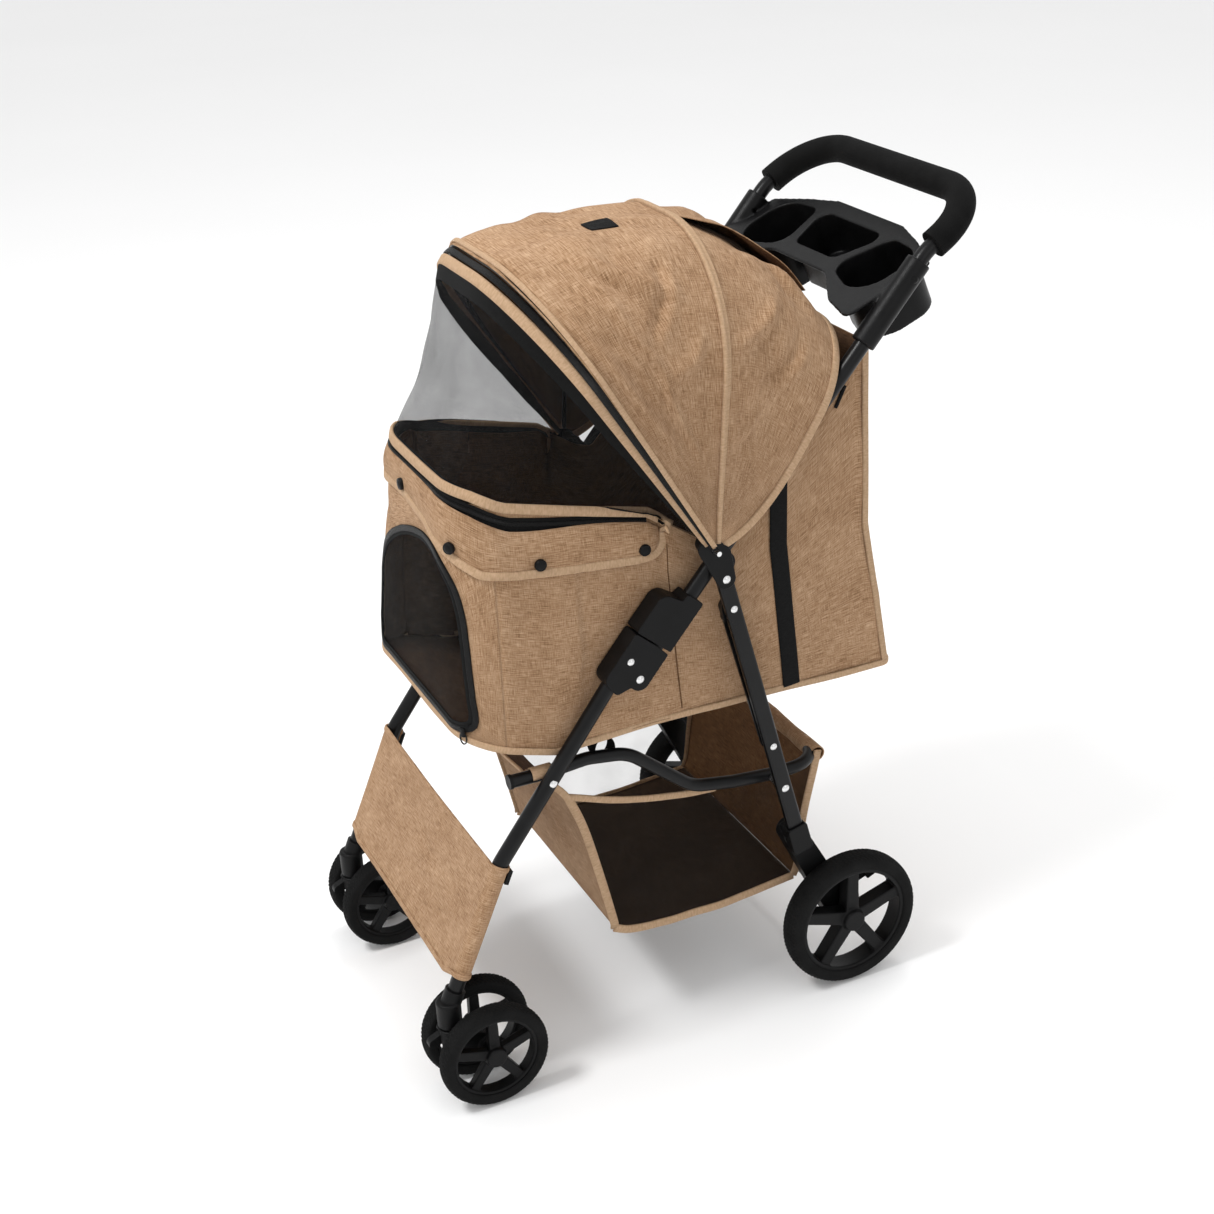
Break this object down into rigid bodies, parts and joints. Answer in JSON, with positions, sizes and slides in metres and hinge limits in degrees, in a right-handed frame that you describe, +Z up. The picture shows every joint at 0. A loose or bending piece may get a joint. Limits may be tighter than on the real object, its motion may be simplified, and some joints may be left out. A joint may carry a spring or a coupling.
{
  "type": "pet stroller",
  "caption": "Folding four-wheel pet stroller with a cloth cabin, mesh door and window, canopy, under-basket, cup tray and foam push bar.",
  "frame": {"origin": "on the ground, below the middle of the bounding box", "axes": "+Z up, -Y to the front, +X to the pusher's left"},
  "size_m": [0.45, 0.768, 1.01],
  "materials": {
    "black_frame": "satin black powder coat",
    "foam": "matt black foam",
    "rivet_steel": "bright zinc",
    "axle_steel": "zinc plated",
    "tan_cloth": "heathered tan polyester linen",
    "black_mesh": "fine black polyester mesh",
    "tyre_foam": "matt black foam tyre",
    "black_plastic": "moulded black plastic",
    "board": "black plastic board",
    "mat_cloth": "dark padded mat"
  },
  "bodies": {
    "root": {"handle_tube": "black_frame", "handle_grip": "foam", "cup_tray": "black_plastic", "tray_screws": "black_plastic", "bracket_l": "black_plastic", "bracket_r": "black_plastic", "bracket_pins": "rivet_steel", "cabin_shell": "tan_cloth", "rim_hoop": "black_frame"},
    "front_frame": {"front_leg_l": "black_frame", "front_leg_r": "black_frame", "lock_housing_l": "black_plastic", "lock_housing_r": "black_plastic", "fold_pins": "rivet_steel", "front_leg_rivets": "rivet_steel", "leg_panel": "tan_cloth", "panel_clips": "black_plastic", "caster_socket_l": "black_plastic", "caster_socket_r": "black_plastic"},
    "rear_legs": {"rear_leg_l": "black_frame", "rear_leg_r": "black_frame", "leg_struts": "black_frame", "rear_leg_rivets": "rivet_steel", "axle_housing_l": "black_plastic", "axle_housing_r": "black_plastic", "rear_axle": "axle_steel"},
    "basket_frame": {"basket_tube": "black_frame", "basket_caps": "black_plastic", "basket_bag": "tan_cloth"},
    "base": {"base_board": "board", "pet_mat": "mat_cloth"},
    "caster_l": {"caster_fork_l": "black_plastic", "front_axle_l": "axle_steel"},
    "caster_r": {"caster_fork_r": "black_plastic", "front_axle_r": "axle_steel"},
    "canopy_mid": {"canopy_mid_bow": "black_frame", "canopy_rear_cloth": "tan_cloth"},
    "canopy_front": {"canopy_front_bow": "black_frame", "canopy_front_cloth": "tan_cloth", "canopy_window": "black_mesh"},
    "front_door": {"front_door": "black_mesh"},
    "rear_door": {"rear_door": "tan_cloth"},
    "rear_wheel_l": {"rear_rim_l": "black_plastic", "rear_tyre_l": "tyre_foam"},
    "swivel_lever_l": {"swivel_lever_l": "black_plastic"},
    "brake_l": {"brake_pedal_l": "black_plastic"},
    "fold_latch_l": {"fold_latch_l": "black_plastic"},
    "front_wheel_l_outer": {"front_rim_l_outer": "black_plastic", "front_tyre_l_outer": "tyre_foam"},
    "front_wheel_l_inner": {"front_rim_l_inner": "black_plastic", "front_tyre_l_inner": "tyre_foam"},
    "rear_wheel_r": {"rear_rim_r": "black_plastic", "rear_tyre_r": "tyre_foam"},
    "swivel_lever_r": {"swivel_lever_r": "black_plastic"},
    "brake_r": {"brake_pedal_r": "black_plastic"},
    "fold_latch_r": {"fold_latch_r": "black_plastic"},
    "front_wheel_r_outer": {"front_rim_r_outer": "black_plastic", "front_tyre_r_outer": "tyre_foam"},
    "front_wheel_r_inner": {"front_rim_r_inner": "black_plastic", "front_tyre_r_inner": "tyre_foam"}
  },
  "joints": [
    {"name": "fold", "type": "hinge", "parent": "root", "child": "front_frame", "pos_m": [0, -0.092, 0.508], "axis": [1, 0, 0], "range_deg": [0, 112], "deforming": ["cabin_shell", "front_door", "rear_door", "basket_bag"]},
    {"name": "rear_leg_fold", "type": "hinge", "parent": "root", "child": "rear_legs", "pos_m": [0, 0.017, 0.612], "axis": [1, 0, 0], "range_deg": [0, 71]},
    {"name": "basket_fold", "type": "hinge", "parent": "front_frame", "child": "basket_frame", "pos_m": [0, -0.2048, 0.3998], "axis": [-1, 0, 0], "range_deg": [0, 68]},
    {"name": "base_lift", "type": "slide", "parent": "root", "child": "base", "axis": [0, 0, 1], "range_m": [0, 0.17]},
    {"name": "canopy_fold", "type": "hinge", "parent": "root", "child": "canopy_mid", "pos_m": [0, 0.002, 0.652], "axis": [-1, 0, 0], "range_deg": [0, 26], "deforming": ["canopy_rear_cloth", "canopy_front_cloth", "canopy_window"]},
    {"name": "canopy_front_fold", "type": "hinge", "parent": "canopy_mid", "child": "canopy_front", "pos_m": [0, 0.002, 0.652], "axis": [-1, 0, 0], "range_deg": [0, 27]},
    {"name": "front_door_hinge", "type": "hinge", "parent": "root", "child": "front_door", "pos_m": [0, -0.296, 0.475], "axis": [1, 0, 0], "range_deg": [0, 168]},
    {"name": "rear_door_hinge", "type": "hinge", "parent": "root", "child": "rear_door", "pos_m": [0, 0.2535, 0.451], "axis": [-1, 0, 0], "range_deg": [0, 100]},
    {"name": "caster_swivel_l", "type": "hinge", "parent": "front_frame", "child": "caster_l", "pos_m": [0.182, -0.354, 0.1], "axis": [0, 0, 1], "continuous": true},
    {"name": "front_wheel_spin_l_outer", "type": "hinge", "parent": "caster_l", "child": "front_wheel_l_outer", "pos_m": [0.182, -0.313, 0.0685], "axis": [1, 0, 0], "continuous": true},
    {"name": "front_wheel_spin_l_inner", "type": "hinge", "parent": "caster_l", "child": "front_wheel_l_inner", "pos_m": [0.182, -0.313, 0.0685], "axis": [1, 0, 0], "continuous": true},
    {"name": "swivel_lock_l", "type": "hinge", "parent": "caster_l", "child": "swivel_lever_l", "pos_m": [0.182, -0.367, 0.095], "axis": [-1, 0, 0], "range_deg": [0, 38]},
    {"name": "rear_wheel_spin_l", "type": "hinge", "parent": "rear_legs", "child": "rear_wheel_l", "pos_m": [0.182, 0.1855, 0.093], "axis": [1, 0, 0], "continuous": true},
    {"name": "brake_l", "type": "hinge", "parent": "rear_legs", "child": "brake_l", "pos_m": [0.182, 0.2, 0.122], "axis": [-1, 0, 0], "range_deg": [0, 18]},
    {"name": "latch_l", "type": "slide", "parent": "root", "child": "fold_latch_l", "axis": [0, 0.6582, 0.7529], "range_m": [0, 0.02]},
    {"name": "caster_swivel_r", "type": "hinge", "parent": "front_frame", "child": "caster_r", "pos_m": [-0.182, -0.354, 0.1], "axis": [0, 0, 1], "continuous": true},
    {"name": "front_wheel_spin_r_outer", "type": "hinge", "parent": "caster_r", "child": "front_wheel_r_outer", "pos_m": [-0.182, -0.313, 0.0685], "axis": [1, 0, 0], "continuous": true},
    {"name": "front_wheel_spin_r_inner", "type": "hinge", "parent": "caster_r", "child": "front_wheel_r_inner", "pos_m": [-0.182, -0.313, 0.0685], "axis": [1, 0, 0], "continuous": true},
    {"name": "swivel_lock_r", "type": "hinge", "parent": "caster_r", "child": "swivel_lever_r", "pos_m": [-0.182, -0.367, 0.095], "axis": [-1, 0, 0], "range_deg": [0, 38]},
    {"name": "rear_wheel_spin_r", "type": "hinge", "parent": "rear_legs", "child": "rear_wheel_r", "pos_m": [-0.182, 0.1855, 0.093], "axis": [1, 0, 0], "continuous": true},
    {"name": "brake_r", "type": "hinge", "parent": "rear_legs", "child": "brake_r", "pos_m": [-0.182, 0.2, 0.122], "axis": [-1, 0, 0], "range_deg": [0, 18]},
    {"name": "latch_r", "type": "slide", "parent": "root", "child": "fold_latch_r", "axis": [0, 0.6582, 0.7529], "range_m": [0, 0.02]}
  ],
  "couplings": [
    {"joint": "rear_leg_fold", "follows": "fold", "ratio": 0.625},
    {"joint": "basket_fold", "follows": "fold", "ratio": 0.6},
    {"joint": "base_lift", "follows": "fold", "m_per_rad": 0.086},
    {"joint": "canopy_front_fold", "follows": "canopy_fold", "ratio": 1}
  ]
}
